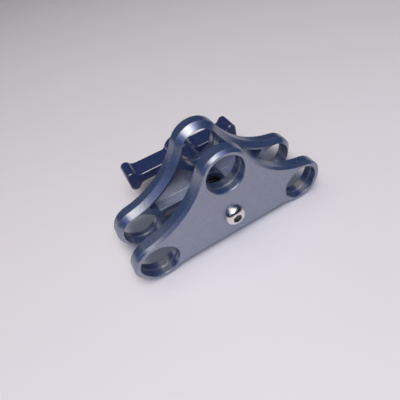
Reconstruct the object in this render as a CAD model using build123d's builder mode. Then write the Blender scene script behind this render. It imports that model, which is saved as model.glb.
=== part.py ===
from build123d import *
import os
from math import cos, hypot, pi, sin, sqrt

os.makedirs("parts", exist_ok=True)

# Triple ball clamp: two ribbed plates drawn together by one screw and a T-handle.
# Millimetres. Origin: centre of the ball held by the upper sockets, midway between the plates.
# +X runs along the plates, +Y from the front plate to the handle, +Z up.

# Ball sockets
BALL_R = 12.7  # 1 inch ball
SOCKET_SPAN = 77.5  # between the two lower socket axes
SOCKET_DROP = 29.0  # upper socket axis down to the lower ones
SOCKET_R = 9.1
SEAT_R = 9.25  # the ball's seat where it meets the inner face
SOCKET_RIM = 0.4  # chamfer at the outer face
GROOVE_R = 9.65
GROOVE_DEPTH = 3.1  # from the outer face
GROOVE_W = 1.3

# Plates
GAP = 14.2  # between the inner faces
PLATE_T = 8.3
LOBE_R = 11.8  # lobes round the sockets
WAIST_R = 42.7  # concave upper sides
BASE_RISE = 3.0  # straight lower edge above the lowest point of the lobes
BASE_BLEND_R = 10.8
OUTER_CHAMFER = 1.15
INNER_CHAMFER = 2.5

# Pockets in the inner faces
POCKET_DEPTH = 6.0
POCKET_RIM = 3.4
SOCKET_BOSS_R = 12.2
SCREW_BOSS_R = 8.4
RIB_W = 2.8
POST_W = 8.6
POCKET_CORNER_R = 1.1
POCKET_FLOOR_R = 0.8

# Clamping screw, M6 button head
SCREW_RISE = 4.3  # above the lower socket axes
SCREW_R = 3.0
SCREW_LENGTH = 55.0
SCREW_TIP = 0.7
HEAD_R = 5.2
HEAD_H = 3.3
HEAD_CROWN_R = 2.8
HEAD_EDGE = 0.5  # straight rim under the dome
HEAD_DOME_R = 3.3
HEX_AF = 4.0
HEX_DEPTH = 2.1
FIXED_CLEARANCE = 0.03
RUNNING_CLEARANCE = 0.08

# Spring between the plates
WIRE_R = 0.6
COIL_R = 5.5
RECESS_R = 6.4
RECESS_DEPTH = 1.5
CLOSED_TURNS = 1.0
ACTIVE_TURNS = 4.0
POINTS_PER_TURN = 12

# Washers
SLIP_R = 8.5
SLIP_T = 1.0
THRUST_R = 8.0
THRUST_T = 1.0
WASHER_BORE_R = 3.2

# T-handle and its threaded insert
BAR_HALF = 30.7  # screw axis to the middle of each end roll
BAR_H = 5.2
BAR_DEPTH = 11.9
BAR_STANDOFF = 20.5  # rear plate to the bar
ROLL_W = 5.6
ROLL_H = 11.3
ROLL_BLEND_R = 4.3
BAR_EDGE_R = 0.65
HUB_R = 8.0  # round swelling in the middle of the bar
HUB_BLEND_R = 2.2
NECK_R = 7.3
NECK_CHAMFER = 0.5
INSERT_R = 4.5
FLANGE_R = 5.7
FLANGE_T = 1.5
INSERT_LENGTH = 12.0
INSERT_START = 24.5
HANDLE_BORE_R = 3.3
MOUTH_CHAMFER = 0.5

LOWER_Z = -SOCKET_DROP
SCREW_Z = LOWER_Z + SCREW_RISE
BASE_Z = LOWER_Z - LOBE_R + BASE_RISE
HALF_SPAN = SOCKET_SPAN / 2
INNER_Y = GAP / 2
OUTER_Y = INNER_Y + PLATE_T
SLIP_END_Y = OUTER_Y + SLIP_T
HANDLE_Y = SLIP_END_Y + THRUST_T
BAR_Y = OUTER_Y + BAR_STANDOFF
BAR_END_Y = BAR_Y + BAR_DEPTH
INSERT_END_Y = INSERT_START + INSERT_LENGTH
SOCKETS = [(-HALF_SPAN, LOWER_Z), (0, 0), (HALF_SPAN, LOWER_Z)]

# Both planes lie midway between the plates and have +Z as their local y.
# Their normals point at the front plate's and at the rear plate's outer face.
TO_FRONT = Plane(origin=(0, 0, 0), x_dir=(1, 0, 0), z_dir=(0, -1, 0))
TO_REAR = Plane(origin=(0, 0, 0), x_dir=(-1, 0, 0), z_dir=(0, 1, 0))


def along_screw(y):
    """A plane square to the screw axis at y, with its normal towards +Y."""
    return Plane(origin=(0, y, SCREW_Z), x_dir=(-1, 0, 0), z_dir=(0, 1, 0))


def towards(start, end, distance):
    """The point at a distance from start on the way to end."""
    length = hypot(end[0] - start[0], end[1] - start[1])
    ratio = distance / length
    return (start[0] + (end[0] - start[0]) * ratio, start[1] + (end[1] - start[1]) * ratio)


def waist_centre():
    """Centre of the concave arc that touches the upper and the right lower lobe."""
    span = hypot(HALF_SPAN, LOWER_Z)
    along = span / 2
    out = sqrt((LOBE_R + WAIST_R) ** 2 - along**2)
    ux = HALF_SPAN / span
    uz = LOWER_Z / span
    return (ux * along - uz * out, uz * along + ux * out)


def plate_outline():
    """The plate's symmetrical outline, drawn in the active BuildLine."""
    lobe = (HALF_SPAN, LOWER_Z)
    waist = waist_centre()
    blend_z = BASE_Z - BASE_BLEND_R
    blend_dx = sqrt((LOBE_R + BASE_BLEND_R) ** 2 - (blend_z - LOWER_Z) ** 2)
    blend = (HALF_SPAN - blend_dx, blend_z)
    top_end = towards((0, 0), waist, LOBE_R)
    low_start = towards(lobe, waist, LOBE_R)
    low_end = towards(lobe, blend, LOBE_R)
    waist_chord = ((top_end[0] + low_start[0]) / 2, (top_end[1] + low_start[1]) / 2)
    waist_mid = towards(waist, waist_chord, WAIST_R)
    base_end = (blend[0], BASE_Z)
    blend_chord = ((low_end[0] + base_end[0]) / 2, (low_end[1] + base_end[1]) / 2)
    blend_mid = towards(blend, blend_chord, BASE_BLEND_R)
    right_side = [
        (top_end, waist_mid, low_start),
        (low_start, (HALF_SPAN + LOBE_R, LOWER_Z), low_end),
        (low_end, blend_mid, base_end),
    ]
    ThreePointArc((-top_end[0], top_end[1]), (0, LOBE_R), top_end)
    for start, middle, end in right_side:
        ThreePointArc(start, middle, end)
        ThreePointArc((-start[0], start[1]), (-middle[0], middle[1]), (-end[0], end[1]))
    Line((-base_end[0], BASE_Z), base_end)


def clamp_plate(side, screw_hole_r):
    """One clamp plate, on the side of the gap that the given plane's normal points to."""
    inner = side.offset(INNER_Y)
    outer = side.offset(OUTER_Y)
    outward = Axis((0, 0, 0), side.z_dir)
    with BuildPart() as plate:
        with BuildSketch(inner):
            with BuildLine():
                plate_outline()
            make_face()
        extrude(amount=PLATE_T)
        chamfer(plate.faces().sort_by(outward)[-1].edges(), OUTER_CHAMFER)
        chamfer(plate.faces().sort_by(outward)[0].edges(), INNER_CHAMFER)
        # Ribbed pockets: what is left standing is the rim, the bosses, the rib and the post.
        with BuildSketch(inner):
            with BuildLine():
                plate_outline()
            make_face()
            offset(amount=-POCKET_RIM)
            with Locations(*SOCKETS):
                Circle(SOCKET_BOSS_R, mode=Mode.SUBTRACT)
            with Locations((0, SCREW_Z)):
                Circle(SCREW_BOSS_R, mode=Mode.SUBTRACT)
                Rectangle(SOCKET_SPAN, RIB_W, mode=Mode.SUBTRACT)
                Rectangle(POST_W, SOCKET_DROP, align=(Align.CENTER, Align.MAX), mode=Mode.SUBTRACT)
            offset(amount=-POCKET_CORNER_R)
            offset(amount=POCKET_CORNER_R)
        extrude(amount=POCKET_DEPTH, mode=Mode.SUBTRACT)
        floor_y = (INNER_Y + POCKET_DEPTH) * side.z_dir.Y
        fillet(plate.edges().filter_by_position(Axis.Y, floor_y, floor_y), POCKET_FLOOR_R)
        # Sockets: through bore, shallow groove and the ball's seat at the inner face.
        with BuildSketch(inner):
            with Locations(*SOCKETS):
                Circle(SOCKET_R)
        extrude(amount=PLATE_T, mode=Mode.SUBTRACT)
        rims = plate.faces().sort_by(outward)[-1].inner_wires()
        chamfer(rims.edges(), SOCKET_RIM)
        with BuildSketch(outer.offset(-GROOVE_DEPTH)):
            with Locations(*SOCKETS):
                Circle(GROOVE_R)
        extrude(amount=-GROOVE_W, mode=Mode.SUBTRACT)
        ball_plane = side.offset(INNER_Y - sqrt(BALL_R**2 - SEAT_R**2))
        with Locations(ball_plane):
            with Locations(*SOCKETS):
                Sphere(BALL_R, mode=Mode.SUBTRACT)
        # Screw hole and the spring's recess.
        with BuildSketch(inner):
            with Locations((0, SCREW_Z)):
                Circle(screw_hole_r)
        extrude(amount=PLATE_T, mode=Mode.SUBTRACT)
        with BuildSketch(inner):
            with Locations((0, SCREW_Z)):
                Circle(RECESS_R)
        extrude(amount=RECESS_DEPTH, mode=Mode.SUBTRACT)
    return plate


def clamp_screw():
    """Button-head screw, its head on the front plate's outer face."""
    seat_y = -OUTER_Y
    crown_y = seat_y - HEAD_H
    edge_y = seat_y - HEAD_EDGE
    tip_y = seat_y + SCREW_LENGTH
    with BuildPart() as screw:
        with BuildSketch(Plane.XY.offset(SCREW_Z)):
            with BuildLine():
                Line((0, crown_y), (HEAD_CROWN_R, crown_y))
                RadiusArc((HEAD_CROWN_R, crown_y), (HEAD_R, edge_y), -HEAD_DOME_R)
                Polyline(
                    (HEAD_R, edge_y),
                    (HEAD_R, seat_y),
                    (SCREW_R, seat_y),
                    (SCREW_R, tip_y - SCREW_TIP),
                    (SCREW_R - SCREW_TIP, tip_y),
                    (0, tip_y),
                    (0, crown_y),
                )
            make_face()
        revolve(axis=Axis((0, 0, SCREW_Z), (0, 1, 0)))
        with BuildSketch(along_screw(crown_y)):
            RegularPolygon(HEX_AF / 2, 6, major_radius=False)
        extrude(amount=HEX_DEPTH, mode=Mode.SUBTRACT)
    return screw


def coil_point(turn, total_turns, start_y, pitch):
    """A point on the spring's centre line, with closed end turns one wire thick."""
    wire = 2 * WIRE_R
    first = min(turn, CLOSED_TURNS)
    last = max(turn - (total_turns - CLOSED_TURNS), 0)
    active = turn - first - last
    y = start_y + (first + last) * wire + active * pitch
    angle = 2 * pi * turn
    return (COIL_R * cos(angle), y, SCREW_Z + COIL_R * sin(angle))


def plate_spring():
    """Compression spring with closed ends, seated in the plates' recesses."""
    total_turns = ACTIVE_TURNS + 2 * CLOSED_TURNS
    start_y = -INNER_Y - RECESS_DEPTH + WIRE_R
    centre_length = -2 * start_y
    pitch = (centre_length - 4 * WIRE_R * CLOSED_TURNS) / ACTIVE_TURNS
    steps = round(total_turns * POINTS_PER_TURN)
    points = [coil_point(total_turns * i / steps, total_turns, start_y, pitch) for i in range(steps + 1)]
    with BuildPart() as spring:
        with BuildLine() as path:
            Spline(*points)
        with BuildSketch(Plane(origin=path.line @ 0, z_dir=path.line % 0)):
            Circle(WIRE_R)
        sweep()
    return spring


def washer(start_y, radius, thickness):
    """Flat washer round the screw."""
    with BuildPart() as ring:
        with BuildSketch(along_screw(start_y)):
            Circle(radius)
            Circle(WASHER_BORE_R, mode=Mode.SUBTRACT)
        extrude(amount=thickness)
    return ring


def bar_quarter():
    """A quarter of the dog-bone outline, drawn in the active BuildLine."""
    roll_r = ROLL_W / 2
    roll = (BAR_HALF, ROLL_H / 2 - roll_r)
    blend_y = BAR_H / 2 + ROLL_BLEND_R
    blend_dx = sqrt((roll_r + ROLL_BLEND_R) ** 2 - (blend_y - roll[1]) ** 2)
    blend = (BAR_HALF - blend_dx, blend_y)
    touch = towards(roll, blend, roll_r)
    tip = (BAR_HALF + roll_r, roll[1])
    roll_chord = ((tip[0] + touch[0]) / 2, (tip[1] + touch[1]) / 2)
    bar_start = (blend[0], BAR_H / 2)
    blend_chord = ((touch[0] + bar_start[0]) / 2, (touch[1] + bar_start[1]) / 2)
    Line((tip[0], 0), tip)
    ThreePointArc(tip, towards(roll, roll_chord, roll_r), touch)
    ThreePointArc(touch, towards(blend, blend_chord, ROLL_BLEND_R), bar_start)
    Line(bar_start, (0, BAR_H / 2))


def t_handle():
    """T-handle: a dog-bone bar on a long round hub."""
    with BuildPart() as handle:
        with BuildSketch(along_screw(BAR_Y)) as bar:
            with BuildLine():
                bar_quarter()
                mirror(about=Plane.XZ)
                mirror(about=Plane.YZ)
            make_face()
            Circle(HUB_R)
            fillet(bar.vertices().sort_by_distance((0, 0, 0))[:4], HUB_BLEND_R)
        extrude(amount=BAR_DEPTH)
        fillet(handle.faces().filter_by(Axis.Y).edges(), BAR_EDGE_R)
        with BuildSketch(along_screw(HANDLE_Y)):
            Circle(NECK_R)
        extrude(amount=BAR_END_Y - HANDLE_Y - BAR_EDGE_R)
        chamfer(handle.faces().sort_by(Axis.Y)[0].edges(), NECK_CHAMFER)
        bores = [
            (HANDLE_Y, HANDLE_BORE_R),
            (INSERT_START, INSERT_R + FIXED_CLEARANCE),
            (INSERT_END_Y - FLANGE_T, FLANGE_R + FIXED_CLEARANCE),
        ]
        for start_y, radius in bores:
            with BuildSketch(along_screw(start_y)):
                Circle(radius)
            extrude(amount=BAR_END_Y - start_y, mode=Mode.SUBTRACT)
        mouth = handle.faces().sort_by(Axis.Y)[-1].inner_wires().edges()
        chamfer(mouth, MOUTH_CHAMFER)
    return handle


def thread_insert():
    """Flanged threaded bush, pushed into the handle from the rear."""
    with BuildPart() as insert:
        with BuildSketch(along_screw(INSERT_START)):
            Circle(INSERT_R)
        extrude(amount=INSERT_LENGTH)
        with BuildSketch(along_screw(INSERT_END_Y - FLANGE_T)):
            Circle(FLANGE_R)
        extrude(amount=FLANGE_T)
        with BuildSketch(along_screw(INSERT_START)):
            Circle(SCREW_R + RUNNING_CLEARANCE)
        extrude(amount=INSERT_LENGTH, mode=Mode.SUBTRACT)
    return insert


NODES = {
    "front_plate": clamp_plate(TO_FRONT, SCREW_R + FIXED_CLEARANCE),
    "rear_plate": clamp_plate(TO_REAR, SCREW_R + RUNNING_CLEARANCE),
    "clamp_screw": clamp_screw(),
    "plate_spring": plate_spring(),
    "slip_washer": washer(OUTER_Y, SLIP_R, SLIP_T),
    "thrust_washer": washer(SLIP_END_Y, THRUST_R, THRUST_T),
    "t_handle": t_handle(),
    "thread_insert": thread_insert(),
}

for name, builder in NODES.items():
    builder.part.label = name
    export_step(builder.part, f"parts/{name}.step")
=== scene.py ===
import math

import bpy
from mathutils import Matrix, Vector


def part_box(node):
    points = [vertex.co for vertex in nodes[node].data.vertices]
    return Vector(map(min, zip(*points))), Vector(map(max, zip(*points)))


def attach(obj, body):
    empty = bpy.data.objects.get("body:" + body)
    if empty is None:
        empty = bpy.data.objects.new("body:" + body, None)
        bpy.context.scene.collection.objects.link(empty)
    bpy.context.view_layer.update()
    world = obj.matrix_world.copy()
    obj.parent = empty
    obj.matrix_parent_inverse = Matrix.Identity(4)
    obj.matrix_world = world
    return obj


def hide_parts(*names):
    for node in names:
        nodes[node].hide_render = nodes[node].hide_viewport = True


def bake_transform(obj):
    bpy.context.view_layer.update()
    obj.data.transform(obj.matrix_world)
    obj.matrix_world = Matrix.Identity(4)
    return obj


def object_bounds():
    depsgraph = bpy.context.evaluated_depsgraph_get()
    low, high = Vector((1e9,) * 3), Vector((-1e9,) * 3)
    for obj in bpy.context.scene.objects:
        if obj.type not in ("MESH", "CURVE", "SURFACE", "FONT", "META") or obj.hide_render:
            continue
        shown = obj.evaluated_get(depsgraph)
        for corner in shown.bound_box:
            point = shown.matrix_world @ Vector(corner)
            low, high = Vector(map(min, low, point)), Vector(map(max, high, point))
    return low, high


# Looks of the triple ball clamp: finishes, the screw's thread, a wound spring,
# floor, light and camera.
# Metres, in the imported model's frame: +X along the plates, +Y to the handle, +Z up.

MM = 0.001

# Camera, round a point below the upper socket
CAMERA_AZIMUTH = -21.6  # degrees
CAMERA_ELEVATION = 50.2
CAMERA_ROLL = -12.5
CAMERA_DISTANCE = 172.5 * MM
CAMERA_AIM = Vector((3.1 * MM, 0, -42.1 * MM))
CAMERA_LENS = 29.3
CAMERA_SHIFT = (-0.07, 0.035)
SENSOR_WIDTH = 36
NEAREST_SEEN = 10 * MM

WHITE = (1.0, 1.0, 1.0)
WARM = (1.0, 0.9, 0.7)
BLUE = (0.3, 0.4, 1.0)

# Softboxes one metre away: azimuth, elevation and half angle in degrees, radiance and tint
SOFTBOXES = {
    "key": (-20, 50, 14, 3.2, WHITE),
    "key_edge": (-40, 50, 10, 0.9, WHITE),
    "top": (0, 68, 14, 3.2, WHITE),
    "top_left": (-45, 75, 10, 0.8, WARM),
    "overhead": (0, 88, 12, 1.0, WARM),
    "back": (180, 72, 14, 1.0, WARM),
    "left": (-115, 55, 18, 0.9, WARM),
    "left_front": (-60, 60, 14, 0.8, WHITE),
    "left_low": (-60, 35, 14, 0.7, BLUE),
    "front": (10, 40, 12, 0.5, BLUE),
    "front_right": (25, 52, 12, 0.7, BLUE),
    "right": (60, 65, 16, 0.7, WHITE),
}
WORLD_COLOUR = (0.5, 0.65, 1.0)
WORLD_STRENGTH = 0.03
FLOOR_SIZE = 1.8
FLOOR_COLOURS = ((0.89, 0.86, 0.91), (0.94, 0.9, 0.95))
BACKDROP_COLOUR = (0.68, 0.66, 0.67)
SHADE_COLOUR = (0.2, 0.23, 0.32)

# Rectangles of floor painted with the object's shade at rest, in mm: left, right, front and back
SHADES = (
    (-42, 46, -5, 24),  # under the plates
    (-20, 28, 24, 44),  # under the handle
)
SHADE_FADE = 13 * MM

# Plates
LOBE_R = 11.8 * MM
SOCKET_WALL = 9.72 * MM  # no bore wall lies farther from its axis
TOOL_PITCH = 0.22 * MM
POCKET_FLOOR = 13.1 * MM  # from the middle of the gap
RIB_HALF_HEIGHT = 1.5 * MM
POCKET_MARGIN = 0.5 * MM  # how far from its floor the painted pocket light reaches
RIB_MARGIN = 0.2 * MM  # and past the rib's sides
# Colour of the painted light on the pocket floors and the rib's sides
POCKET_PAINTED_LIGHT = (0.33, 0.36, 0.47)

# M6 button-head screw
SCREW_R = 3 * MM
PITCH = 1 * MM
THREAD_DEPTH = 0.61 * MM
THREAD_START = 3.5 * MM  # from under the head
THREAD_RUNOUT = 1.5 * MM
PLAIN_SHANK_R = SCREW_R - 0.2 * THREAD_DEPTH
TIP_CHAMFER = 0.7 * MM
HEAD_H = 3.3 * MM
HEAD_CROWN_R = 2.8 * MM
HEAD_EDGE = 0.5 * MM
HEAD_DOME_R = 3.3 * MM
HEAD_DOME_STEPS = 14
HEAD_CHAMFER = 0.1 * MM
HEX_AF = 4 * MM
HEX_DEPTH = 2.1 * MM
HEX_LIP = 0.15 * MM
HEX_R = HEX_AF / 2 / math.cos(math.pi / 6) + HEX_LIP
# Painted shade inside the screw head's hexagon socket
HEX_PAINTED_SHADE = (0.4, 0.38, 0.34)
SCREW_SIDES = 48
RINGS_PER_TURN = 10

# Spring
WIRE_R = 0.6 * MM
CLOSED_TURNS = 1
ACTIVE_TURNS = 4
COIL_STEPS = 32  # per turn
WIRE_SIDES = 12

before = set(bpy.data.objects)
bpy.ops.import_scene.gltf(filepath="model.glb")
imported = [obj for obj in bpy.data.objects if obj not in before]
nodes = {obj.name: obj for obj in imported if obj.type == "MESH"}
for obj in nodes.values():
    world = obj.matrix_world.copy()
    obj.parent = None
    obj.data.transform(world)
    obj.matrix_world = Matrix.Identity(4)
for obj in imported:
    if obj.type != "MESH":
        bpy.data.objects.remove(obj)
cad_low, cad_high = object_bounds()

# Places and sizes of the CAD nodes
plate_low, plate_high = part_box("front_plate")
LOWER_Z = plate_low[2] + LOBE_R
SOCKETS = ((plate_low[0] + LOBE_R, LOWER_Z), (0, 0), (plate_high[0] - LOBE_R, LOWER_Z))
RIB_TOP = -plate_high[1]  # from the middle of the gap
screw_low, screw_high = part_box("clamp_screw")
SCREW_Z = (screw_low[2] + screw_high[2]) / 2
HEAD_R = (screw_high[0] - screw_low[0]) / 2
SEAT_Y = screw_low[1] + HEAD_H
TIP_Y = screw_high[1]
coil_low, coil_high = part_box("plate_spring")
COIL_R = (coil_high[0] - coil_low[0]) / 2 - WIRE_R


# Node helpers

class Material:
    """A material with its Principled shader and short ways to add and link nodes."""

    def __init__(self, name):
        self.data = bpy.data.materials.new(name)
        self.data.use_nodes = True
        self.tree = self.data.node_tree
        self.shader = self.tree.nodes["Principled BSDF"]

    def add(self, kind, inputs=(), **settings):
        node = self.tree.nodes.new(kind)
        for key, value in settings.items():
            setattr(node, key, value)
        for key, value in dict(inputs).items():
            if isinstance(value, bpy.types.NodeSocket):
                self.tree.links.new(value, node.inputs[key])
            else:
                node.inputs[key].default_value = value
        return node

    def place(self):
        return self.add("ShaderNodeTexCoord").outputs["Object"]

    def noise(self, place, scale, detail=3.0, roughness=0.6):
        inputs = {"Vector": place, "Scale": scale, "Detail": detail, "Roughness": roughness}
        return self.add("ShaderNodeTexNoise", inputs).outputs["Fac"]

    def spread(self, value, low, high, to_low=0.0, to_high=1.0):
        """Maps low..high to to_low..to_high, clamped."""
        inputs = {"Value": value, "From Min": low, "From Max": high, "To Min": to_low, "To Max": to_high}
        return self.add("ShaderNodeMapRange", inputs).outputs["Result"]

    def fade(self, value, low, high):
        """Maps low..high to 0..1, clamped and eased at both ends."""
        inputs = {"Value": value, "From Min": low, "From Max": high}
        return self.add("ShaderNodeMapRange", inputs, interpolation_type="SMOOTHSTEP").outputs["Result"]

    def math(self, operation, first, second=0.0):
        return self.add("ShaderNodeMath", {0: first, 1: second}, operation=operation).outputs[0]

    def vector(self, operation, first, second=(0, 0, 0), output="Vector"):
        node = self.add("ShaderNodeVectorMath", {0: first, 1: second}, operation=operation)
        return node.outputs[output]

    def axis(self, vector, name):
        return self.add("ShaderNodeSeparateXYZ", {0: vector}).outputs[name]

    def mix(self, factor, first, second):
        node = self.add("ShaderNodeMix", {"Factor": factor}, data_type="RGBA")
        for key, value in (("A", first), ("B", second)):
            socket = next(s for s in node.inputs if s.name == key and s.type == "RGBA")
            if isinstance(value, bpy.types.NodeSocket):
                self.tree.links.new(value, socket)
            else:
                socket.default_value = (*value, 1)
        return next(s for s in node.outputs if s.type == "RGBA")

    def bump(self, height, strength, distance, normal=None):
        inputs = {"Height": height, "Strength": strength, "Distance": distance}
        if normal is not None:
            inputs["Normal"] = normal
        return self.add("ShaderNodeBump", inputs).outputs["Normal"]

    def link(self, socket, name):
        self.tree.links.new(socket, self.shader.inputs[name])

    def set(self, **values):
        for name, value in values.items():
            self.shader.inputs[name.replace("_", " ")].default_value = value


def rounded_normal(material, radius):
    """The normal, rounded over edges."""
    return material.add("ShaderNodeBevel", {"Radius": radius}, samples=6).outputs["Normal"]


def edge_wear_and_highlight(material, rounded):
    """1 where the rounded normal leans well away from the true one, and 0 away from edges: the mask of
    paler edges, part wear and part painted highlight.
    """
    true = material.add("ShaderNodeNewGeometry").outputs["Normal"]
    return material.spread(material.vector("DOT_PRODUCT", rounded, true, "Value"), 0.975, 0.86)


def lean(material, axis):
    """How squarely the surface faces along an axis, either way, from 0 to 1."""
    facing = material.add("ShaderNodeNewGeometry").outputs["Normal"]
    return material.math("ABSOLUTE", material.axis(facing, axis))


def from_axis(material, place, x, z):
    """The distance from the line along Y through x and z."""
    flat = material.vector("MULTIPLY", place, (1, 0, 1))
    return material.vector("DISTANCE", flat, (x, 0, z), "Value")


def near(material, value, middle, reach):
    """1 close to the middle, falling to 0 over the last tenth of the reach."""
    away = material.math("ABSOLUTE", material.math("SUBTRACT", value, middle))
    return material.spread(away, reach, reach * 0.9)


def pocket_light_zone(material, place):
    """1 where light is painted: on the pocket floors and on the upper and lower sides of the rib."""
    where = material.add("ShaderNodeSeparateXYZ", {0: place}).outputs
    depth = material.math("ABSOLUTE", where["Y"])
    level = material.spread(lean(material, "Y"), 0.6, 0.8)
    upright = material.spread(lean(material, "Z"), 0.6, 0.8)
    floors = material.math("MULTIPLY", near(material, depth, POCKET_FLOOR, POCKET_MARGIN), level)
    middle = (RIB_TOP + POCKET_FLOOR) / 2
    reach = (POCKET_FLOOR - RIB_TOP) / 2 + RIB_MARGIN
    sides = material.math("MULTIPLY", near(material, depth, middle, reach), upright)
    sides = material.math("MULTIPLY", sides, near(material, where["Z"], SCREW_Z, RIB_HALF_HEIGHT))
    return material.math("MAXIMUM", floors, sides)


def tool_rings(material, place, normal):
    """The normal with fine tool rings on the walls of the sockets."""
    nearest = None
    for x, z in SOCKETS:
        away = from_axis(material, place, x, z)
        nearest = away if nearest is None else material.math("MINIMUM", nearest, away)
    inside = material.spread(nearest, SOCKET_WALL + 0.02 * MM, SOCKET_WALL)
    waver = material.spread(material.noise(place, 300, 2), 0.3, 0.7, -0.4, 0.4)
    turns = material.math("MULTIPLY", material.axis(place, "Y"), math.tau / TOOL_PITCH)
    rings = material.math("SINE", material.math("ADD", turns, waver))
    return material.bump(material.math("MULTIPLY", rings, inside), 0.35, 0.008 * MM, normal)


def anodised(name, dark, light, worn, roughness, gloss, is_plate):
    """Anodised aluminium: a dyed body colour under a metal-like gloss, given as its IOR.

    It has fine blasted grain, slow mottling and paler edges, part wear and part painted
    highlight. A plate also has painted light on its pocket floors and rib sides, and turned
    sockets.
    """
    material = Material(name)
    place = material.place()
    grain = material.noise(place, 5200, 3, 0.7)
    mottle = material.noise(place, 240, 4)
    cloud = material.noise(place, 38, 2)
    speck = material.noise(place, 1900, 2)
    rounded = rounded_normal(material, 0.24 * MM)
    chips = material.spread(speck, 0.3, 0.62, 0.75, 1.0)
    chipped_and_highlit = material.math("MULTIPLY", edge_wear_and_highlight(material, rounded), chips)
    base = material.mix(material.spread(mottle, 0.3, 0.7), dark, light)
    base = material.mix(material.spread(cloud, 0.35, 0.68, 0.0, 0.3), base, light)
    # Paler edges: part real wear, part painted highlight
    base = material.mix(material.math("MULTIPLY", chipped_and_highlit, 0.85), base, worn)
    rough = material.spread(grain, 0.25, 0.75, roughness - 0.05, roughness + 0.05)
    rough = material.math("ADD", rough, material.spread(mottle, 0.3, 0.7, -0.015, 0.015))
    normal = material.bump(grain, 0.14, 0.03 * MM, rounded)
    if is_plate:
        # Painted light on the pocket floors and the rib's sides
        base = material.mix(pocket_light_zone(material, place), base, POCKET_PAINTED_LIGHT)
        normal = tool_rings(material, place, normal)
    material.set(IOR=gloss)
    material.link(base, "Base Color")
    material.link(rough, "Roughness")
    material.link(normal, "Normal")
    return material.data


def drive_socket(material, place, away):
    """1 inside the screw head's hexagon socket, given the distance from the screw's axis."""
    middle = SEAT_Y - HEAD_H + HEX_LIP + HEX_DEPTH / 2
    deep = near(material, material.axis(place, "Y"), middle, HEX_DEPTH / 2)
    return material.math("MULTIPLY", deep, material.spread(away, HEX_R, HEX_R - HEX_LIP))


def turned_metal(name, base, stain, roughness, ring_pitch):
    """Turned metal with fine rings round the screw's axis, faint stains, and painted shade in the head's
    hexagon socket.
    """
    material = Material(name)
    place = material.place()
    away = from_axis(material, place, 0, SCREW_Z)
    smudge = material.noise(place, 420, 4)
    fine = material.noise(place, 6000, 2)
    phase = material.math("ADD", material.math("MULTIPLY", away, math.tau / ring_pitch), smudge)
    rings = material.math("SINE", phase)
    tone = material.mix(material.spread(smudge, 0.42, 0.72, 0.0, 0.45), base, stain)
    # Painted shade inside the hexagon socket
    tone = material.mix(drive_socket(material, place, away), tone, HEX_PAINTED_SHADE)
    rough = material.spread(smudge, 0.3, 0.7, roughness - 0.04, roughness + 0.08)
    rough = material.math("ADD", rough, material.spread(fine, 0.3, 0.7, -0.02, 0.02))
    normal = material.bump(rings, 0.12, 0.002 * MM, rounded_normal(material, 0.12 * MM))
    material.link(tone, "Base Color")
    material.link(rough, "Roughness")
    material.link(normal, "Normal")
    material.set(Metallic=1.0)
    return material.data


def drawn_wire(name, base, worn, roughness):
    """Black-oxide spring wire, rubbed paler in patches."""
    material = Material(name)
    place = material.place()
    rub = material.noise(place, 900, 4)
    fine = material.noise(place, 7000, 2)
    tone = material.mix(material.spread(rub, 0.56, 0.78), base, worn)
    rough = material.spread(fine, 0.3, 0.7, roughness - 0.06, roughness + 0.06)
    material.link(tone, "Base Color")
    material.link(rough, "Roughness")
    material.link(material.bump(fine, 0.15, 0.01 * MM), "Normal")
    material.set(Metallic=0.8)
    return material.data


def moulded(name, base, pale, roughness):
    """Dense bearing plastic with a faint cloudy tone and fine grain."""
    material = Material(name)
    place = material.place()
    cloud = material.noise(place, 500, 3)
    fine = material.noise(place, 4200, 2)
    tone = material.mix(material.spread(cloud, 0.3, 0.7), base, pale)
    rough = material.spread(fine, 0.3, 0.7, roughness - 0.06, roughness + 0.06)
    material.link(tone, "Base Color")
    material.link(rough, "Roughness")
    material.link(material.bump(fine, 0.2, 0.01 * MM), "Normal")
    return material.data


def finish_node(name, material):
    """Gives a carried-over CAD node its material."""
    mesh = nodes[name].data
    mesh.materials.clear()
    mesh.materials.append(material)


def add_mesh(name, points, faces, sharp_degrees=None):
    """A new object. If an angle is given, it is smooth except at sharper edges."""
    mesh = bpy.data.meshes.new(name)
    mesh.from_pydata(points, [], faces)
    if sharp_degrees is not None:
        mesh.polygons.foreach_set("use_smooth", [True] * len(mesh.polygons))
        mesh.set_sharp_from_angle(angle=math.radians(sharp_degrees))
    piece = bpy.data.objects.new(name, mesh)
    bpy.context.scene.collection.objects.link(piece)
    return piece


def tube_faces(rings, sides):
    """Quads that join each ring of points to the next."""
    faces = []
    for i in range(rings - 1):
        for k in range(sides):
            a = i * sides + k
            b = i * sides + (k + 1) % sides
            faces.append((a, b, b + sides, a + sides))
    return faces


# The screw: a head with its hexagon socket, and a helical thread

def hexagon_radius(angle):
    sector = math.pi / 3
    return HEX_AF / 2 / math.cos((angle + sector / 2) % sector - sector / 2)


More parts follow.
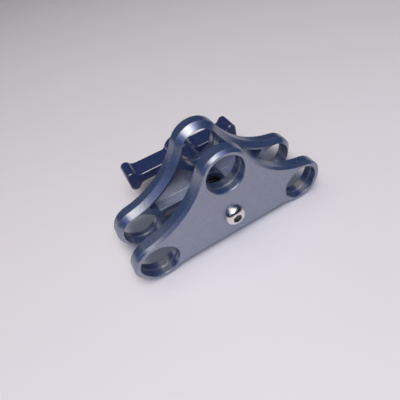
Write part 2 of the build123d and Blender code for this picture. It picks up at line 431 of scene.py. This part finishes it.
def head_rings():
    """(y, radius at each angle) from the bottom of the hexagon socket to the seat."""
    crown_y = SEAT_Y - HEAD_H
    edge_y = SEAT_Y - HEAD_EDGE
    rings = [
        (crown_y + HEX_DEPTH, hexagon_radius),
        (crown_y + HEX_LIP, hexagon_radius),
        (crown_y, lambda angle: hexagon_radius(angle) + HEX_LIP),
    ]
    chord = Vector((HEAD_R - HEAD_CROWN_R, edge_y - crown_y))
    middle = Vector(((HEAD_R + HEAD_CROWN_R) / 2, (edge_y + crown_y) / 2))
    reach = math.sqrt(HEAD_DOME_R**2 - (chord.length / 2) ** 2)
    centre = middle + Vector((-chord.y, chord.x)).normalized() * reach
    start = math.atan2(crown_y - centre.y, HEAD_CROWN_R - centre.x)
    end = math.atan2(edge_y - centre.y, HEAD_R - centre.x)
    for i in range(HEAD_DOME_STEPS + 1):
        angle = start + (end - start) * i / HEAD_DOME_STEPS
        radius = centre.x + HEAD_DOME_R * math.cos(angle)
        rings.append((centre.y + HEAD_DOME_R * math.sin(angle), radius))
    rings.append((SEAT_Y - HEAD_CHAMFER, HEAD_R))
    rings.append((SEAT_Y, HEAD_R - HEAD_CHAMFER))
    return rings


def thread_height(turn):
    """0 at the crest and 1 at the root of a 60 degree thread with flats."""
    slope = abs((turn % 1) * 2 - 1)
    return min(max((slope - 0.125) / 0.625, 0), 1)


def shank_rings():
    """(y, radius at each angle) from the seat to the tip."""
    rings = [(SEAT_Y, PLAIN_SHANK_R), (SEAT_Y + THREAD_START, PLAIN_SHANK_R)]
    count = round((TIP_Y - SEAT_Y - THREAD_START) / PITCH * RINGS_PER_TURN)
    for i in range(1, count + 1):
        along = i * PITCH / RINGS_PER_TURN
        y = SEAT_Y + THREAD_START + along
        deep = THREAD_DEPTH * min(along / THREAD_RUNOUT, 1)
        limit = min(SCREW_R, SCREW_R - TIP_CHAMFER + (TIP_Y - y))

        def radius(angle, along=along, deep=deep, limit=limit):
            turn = along / PITCH - angle / math.tau
            return min(SCREW_R - deep * thread_height(turn), limit)

        rings.append((y, radius))
    return rings


def lofted_screw():
    rings = head_rings() + shank_rings()
    points = []
    for y, radius in rings:
        for k in range(SCREW_SIDES):
            angle = math.tau * k / SCREW_SIDES
            r = radius(angle) if callable(radius) else radius
            points.append((r * math.cos(angle), y, SCREW_Z + r * math.sin(angle)))
    faces = tube_faces(len(rings), SCREW_SIDES)
    head_centre = len(points)
    tip_centre = head_centre + 1
    points.append((0, rings[0][0], SCREW_Z))
    points.append((0, rings[-1][0], SCREW_Z))
    tip_ring = (len(rings) - 1) * SCREW_SIDES
    for k in range(SCREW_SIDES):
        after = (k + 1) % SCREW_SIDES
        faces.append((after, k, head_centre))
        faces.append((tip_ring + k, tip_ring + after, tip_centre))
    return add_mesh("socket_screw", points, [face[::-1] for face in faces], 32)


# The spring

def coil_spring():
    """The CAD spring's coil, with closed turns at both ends."""
    start_y = coil_low[1] + WIRE_R
    end_y = coil_high[1] - WIRE_R
    total = ACTIVE_TURNS + 2 * CLOSED_TURNS
    closed = 2 * WIRE_R * CLOSED_TURNS
    pitch = (end_y - start_y - 2 * closed) / ACTIVE_TURNS

    def outward(turn):
        return Vector((math.cos(math.tau * turn), 0, math.sin(math.tau * turn)))

    def centre(turn):
        first = min(turn, CLOSED_TURNS)
        last = max(turn - CLOSED_TURNS - ACTIVE_TURNS, 0)
        y = start_y + (first + last) * 2 * WIRE_R + (turn - first - last) * pitch
        return Vector((0, y, SCREW_Z)) + outward(turn) * COIL_R

    points = []
    steps = total * COIL_STEPS
    for i in range(steps + 1):
        turn = i / COIL_STEPS
        out = outward(turn)
        along = (centre(turn + 0.01) - centre(turn - 0.01)).normalized()
        side = along.cross(out)
        for k in range(WIRE_SIDES):
            angle = math.tau * k / WIRE_SIDES
            round_wire = (out * math.cos(angle) + side * math.sin(angle)) * WIRE_R
            points.append(centre(turn) + round_wire)
    faces = tube_faces(steps + 1, WIRE_SIDES)
    faces.append(tuple(reversed(range(WIRE_SIDES))))
    faces.append(tuple(range(steps * WIRE_SIDES, (steps + 1) * WIRE_SIDES)))
    piece = add_mesh("coil_spring", points, faces, 50)
    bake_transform(piece)
    return piece


plate_finish = anodised(
    "plate_anodising",
    dark=(0.036, 0.065, 0.168),
    light=(0.041, 0.072, 0.18),
    # Paler edge colour: part wear, part painted highlight
    worn=(0.6, 0.61, 0.64),
    roughness=0.27,
    gloss=3.15,
    is_plate=True,
)
handle_finish = anodised(
    "handle_anodising",
    dark=(0.017, 0.034, 0.13),
    light=(0.021, 0.039, 0.14),
    # Paler edge colour: part wear, part painted highlight
    worn=(0.5, 0.51, 0.56),
    roughness=0.26,
    gloss=2.7,
    is_plate=False,
)
stainless = turned_metal("turned_stainless", (0.82, 0.81, 0.76), (0.7, 0.68, 0.62), 0.17, 0.16 * MM)
brass = turned_metal("turned_brass", (0.72, 0.53, 0.24), (0.6, 0.42, 0.17), 0.26, 0.2 * MM)
spring_wire = drawn_wire("oxide_wire", (0.02, 0.02, 0.024), (0.07, 0.07, 0.075), 0.55)
acetal = moulded("black_acetal", (0.018, 0.018, 0.02), (0.03, 0.03, 0.033), 0.45)

screw = lofted_screw()
screw.data.materials.append(stainless)
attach(screw, "front")
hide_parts("clamp_screw")
spring = coil_spring()
spring.data.materials.append(spring_wire)
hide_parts("plate_spring")
for name, material in {
    "front_plate": plate_finish,
    "rear_plate": plate_finish,
    "t_handle": handle_finish,
    "thrust_washer": stainless,
    "thread_insert": brass,
    "slip_washer": acetal,
}.items():
    finish_node(name, material)


# Stage

def away_from(material, place, left, right, front, back):
    """The distance from a rectangle on the floor, 0 inside it."""
    middle = Vector(((left + right) / 2, (front + back) / 2, 0)) * MM
    half = Vector(((right - left) / 2, (back - front) / 2, 0)) * MM
    offset = material.vector("ABSOLUTE", material.vector("SUBTRACT", place, middle))
    outside = material.vector("MAXIMUM", material.vector("SUBTRACT", offset, half), (0, 0, 0))
    return material.vector("LENGTH", material.vector("MULTIPLY", outside, (1, 1, 0)), output="Value")


def floor():
    low = cad_low.z
    half = FLOOR_SIZE / 2
    corners = [(-half, -half, low), (half, -half, low), (half, half, low), (-half, half, low)]
    piece = add_mesh("floor", corners, [(0, 1, 2, 3)])
    material = Material("floor")
    place = material.place()
    cloud = material.noise(place, 9)
    paper = material.noise(place, 900)
    pale = material.mix(cloud, *FLOOR_COLOURS)
    nearest = away_from(material, place, *SHADES[0])
    for sides in SHADES[1:]:
        nearest = material.math("MINIMUM", nearest, away_from(material, place, *sides))
    # Painted shade on the floor under the plates and the handle
    shade = material.fade(nearest, 0.0, SHADE_FADE)
    material.link(material.mix(shade, SHADE_COLOUR, pale), "Base Color")
    material.link(material.spread(paper, 0.3, 0.7, 0.5, 0.6), "Roughness")
    piece.data.materials.append(material.data)


def direction(azimuth, elevation):
    """Unit vector towards that azimuth and elevation. Azimuth 0 is the -Y side, 90 the +X side."""
    around = math.radians(azimuth)
    up = math.radians(elevation)
    return Vector((math.sin(around) * math.cos(up), -math.cos(around) * math.cos(up), math.sin(up)))


def softbox(name, azimuth, elevation, half_angle, radiance, tint):
    size = 2 * math.tan(math.radians(half_angle))
    light = bpy.data.lights.new(name, "AREA")
    light.shape = "SQUARE"
    light.size = size
    light.energy = radiance * size * size * math.pi
    light.color = tint
    lamp = bpy.data.objects.new(name, light)
    bpy.context.scene.collection.objects.link(lamp)
    way = direction(azimuth, elevation)
    lamp.location = way
    lamp.rotation_mode = "QUATERNION"
    lamp.rotation_quaternion = way.to_track_quat("Z", "Y")


def surroundings():
    """A dim even light, behind a pale backdrop that only the camera sees."""
    world = bpy.data.worlds.new("world")
    bpy.context.scene.world = world
    world.use_nodes = True
    tree = world.node_tree
    dim = tree.nodes["Background"]
    dim.inputs["Color"].default_value = (*WORLD_COLOUR, 1)
    dim.inputs["Strength"].default_value = WORLD_STRENGTH
    pale = tree.nodes.new("ShaderNodeBackground")
    pale.inputs["Color"].default_value = (*BACKDROP_COLOUR, 1)
    choice = tree.nodes.new("ShaderNodeMixShader")
    tree.links.new(tree.nodes.new("ShaderNodeLightPath").outputs["Is Camera Ray"], choice.inputs[0])
    tree.links.new(dim.outputs[0], choice.inputs[1])
    tree.links.new(pale.outputs[0], choice.inputs[2])
    tree.links.new(choice.outputs[0], tree.nodes["World Output"].inputs["Surface"])


def camera():
    data = bpy.data.cameras.new("camera")
    data.lens = CAMERA_LENS
    data.sensor_width = SENSOR_WIDTH
    data.shift_x, data.shift_y = CAMERA_SHIFT
    data.clip_start = NEAREST_SEEN
    eye = bpy.data.objects.new("camera", data)
    bpy.context.scene.collection.objects.link(eye)
    back = direction(CAMERA_AZIMUTH, CAMERA_ELEVATION)
    around = math.radians(CAMERA_AZIMUTH)
    right = Vector((math.cos(around), math.sin(around), 0))
    up = back.cross(right)
    roll = math.radians(CAMERA_ROLL)
    rolled_right = right * math.cos(roll) + up * math.sin(roll)
    rolled_up = up * math.cos(roll) - right * math.sin(roll)
    turn = Matrix((rolled_right, rolled_up, back)).transposed()
    eye.matrix_world = Matrix.Translation(CAMERA_AIM + back * CAMERA_DISTANCE) @ turn.to_4x4()
    bpy.context.scene.camera = eye


floor()
for name, (azimuth, elevation, half_angle, radiance, tint) in SOFTBOXES.items():
    softbox(name, azimuth, elevation, half_angle, radiance, tint)
surroundings()
camera()
bpy.context.scene.view_settings.view_transform = "Standard"
